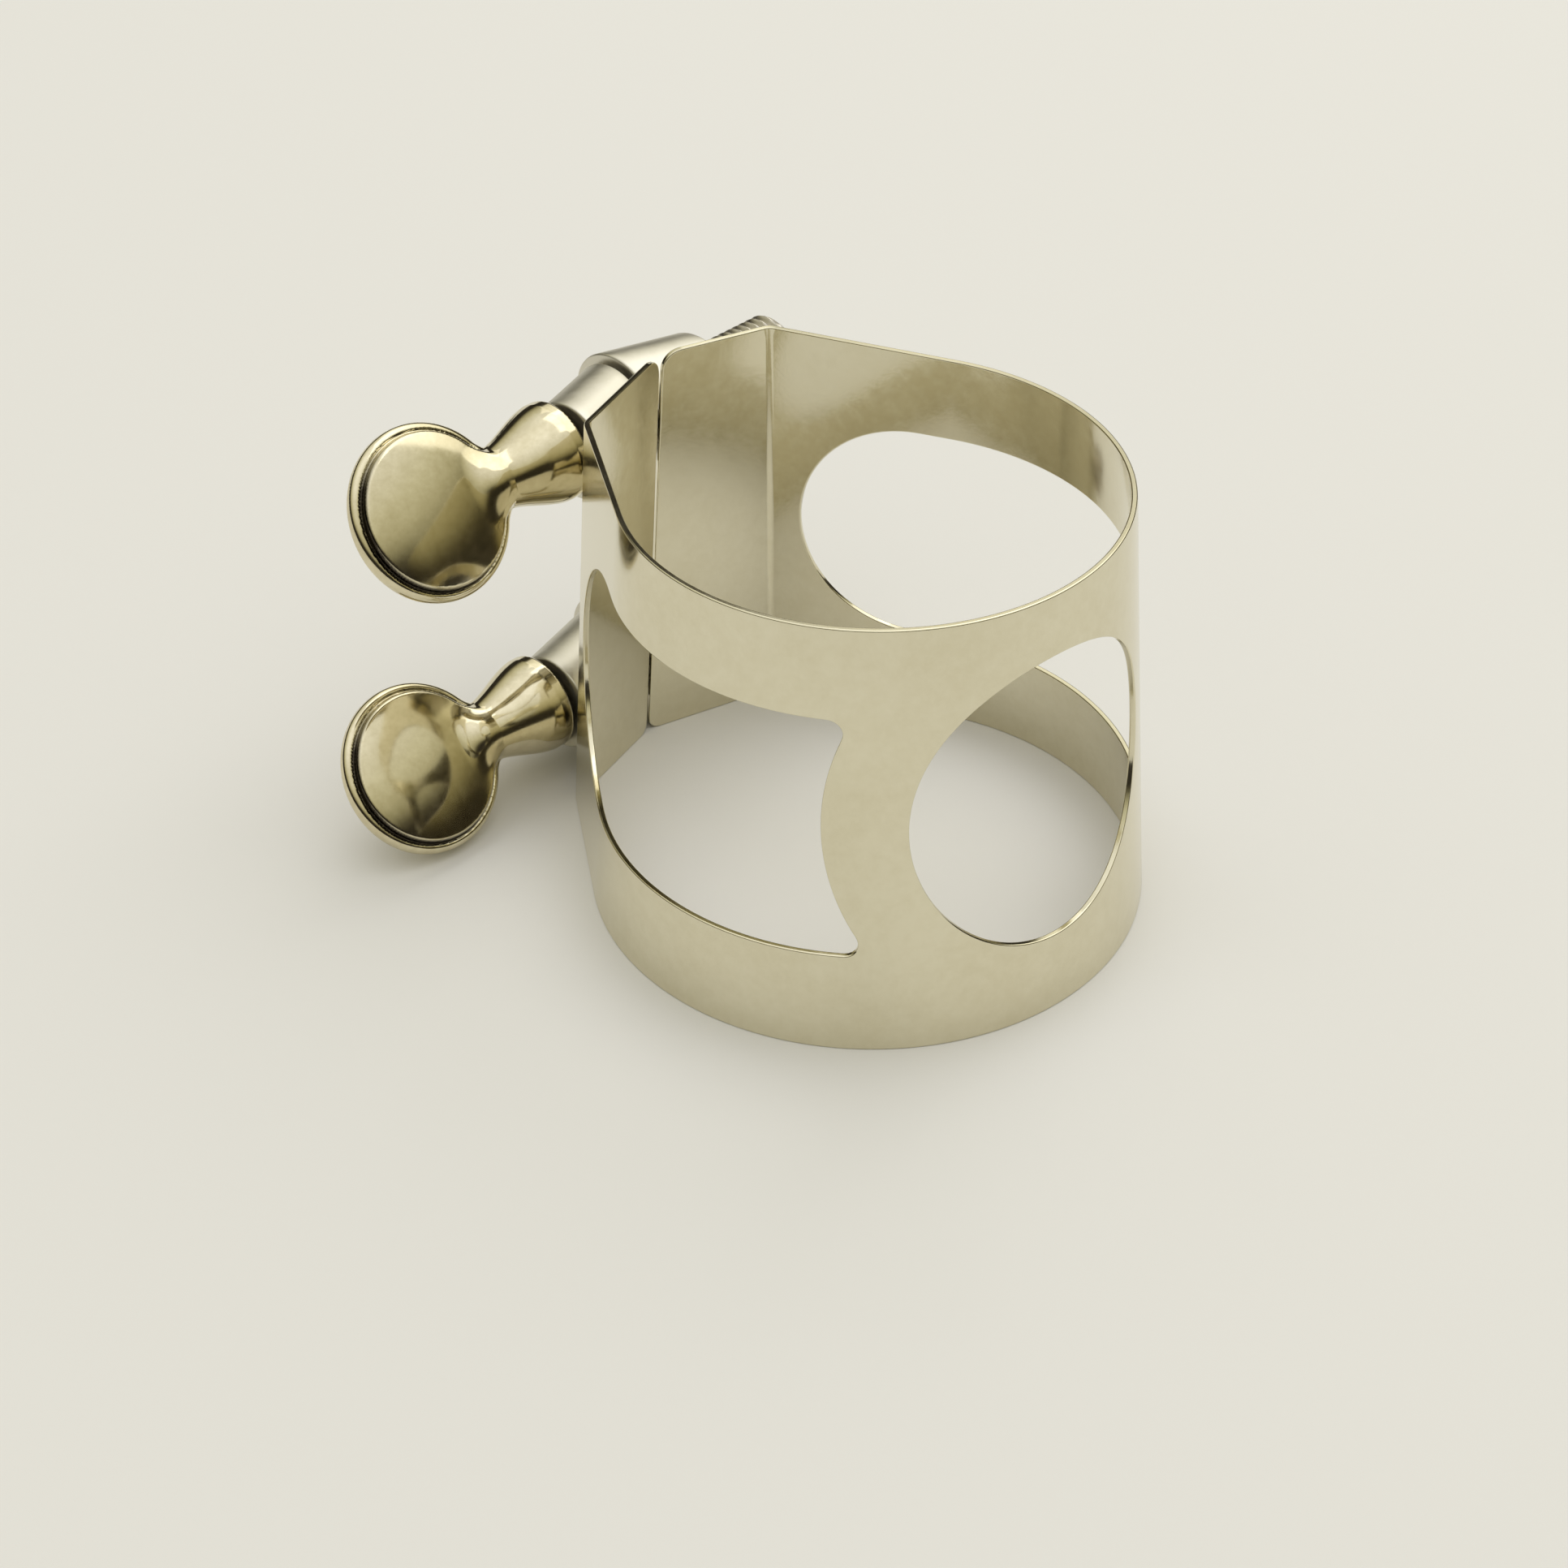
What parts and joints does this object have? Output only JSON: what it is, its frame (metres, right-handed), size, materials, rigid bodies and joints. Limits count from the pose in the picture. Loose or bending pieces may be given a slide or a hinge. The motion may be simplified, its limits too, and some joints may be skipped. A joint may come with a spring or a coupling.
{
  "type": "saxophone ligature",
  "caption": "Two-screw saxophone ligature: a tapered, windowed plated band whose wings close over the reed by thumbscrews in soldered barrels.",
  "frame": {"origin": "on the tube's axis, in the plane of the wide rim", "axes": "+X along the screws from thumb head to tip, +Y towards the reed flats and the gap, +Z along the tube's axis to the narrow rim"},
  "size_m": [0.0321, 0.0365, 0.0229],
  "materials": {
    "band": "polished nickel plate on brass sheet, lightly handled",
    "barrel": "polished nickel plate on brass",
    "solder": "plated solder fillet",
    "head": "polished nickel plate on a brass casting",
    "shank": "nickel plated thread"
  },
  "bodies": {
    "left_wing": {"band_left_wing": "band", "lower_plain_barrel": "barrel", "upper_plain_barrel": "barrel", "lower_plain_solder": "solder", "upper_plain_solder": "solder"},
    "right_wing": {"band_right_wing": "band", "lower_threaded_barrel": "barrel", "upper_threaded_barrel": "barrel", "lower_threaded_solder": "solder", "upper_threaded_solder": "solder"},
    "lower_screw": {"lower_thumb_head": "head", "lower_threaded_shank": "shank"},
    "upper_screw": {"upper_thumb_head": "head", "upper_threaded_shank": "shank"}
  },
  "joints": [
    {"name": "lower_screw_turn", "type": "hinge", "parent": "left_wing", "child": "lower_screw", "pos_m": [0, 0.01845, 0.00385], "axis": [-1, 0, 0], "range_deg": [-90, 1440]},
    {"name": "upper_screw_turn", "type": "hinge", "parent": "left_wing", "child": "upper_screw", "pos_m": [0, 0.0183, 0.0185], "axis": [-1, 0, 0], "range_deg": [-86.93, 1383.36]},
    {"name": "flex_crown", "type": "hinge", "parent": "left_wing", "child": "right_wing", "pos_m": [0, -0.014, 0], "axis": [0, -0.0766, -0.9971], "range_deg": [-0.23, 3.57]}
  ],
  "couplings": [
    {"joint": "upper_screw_turn", "follows": "lower_screw_turn", "ratio": 0.96032},
    {"joint": "flex_crown", "follows": "lower_screw_turn", "ratio": 0.0024749}
  ]
}
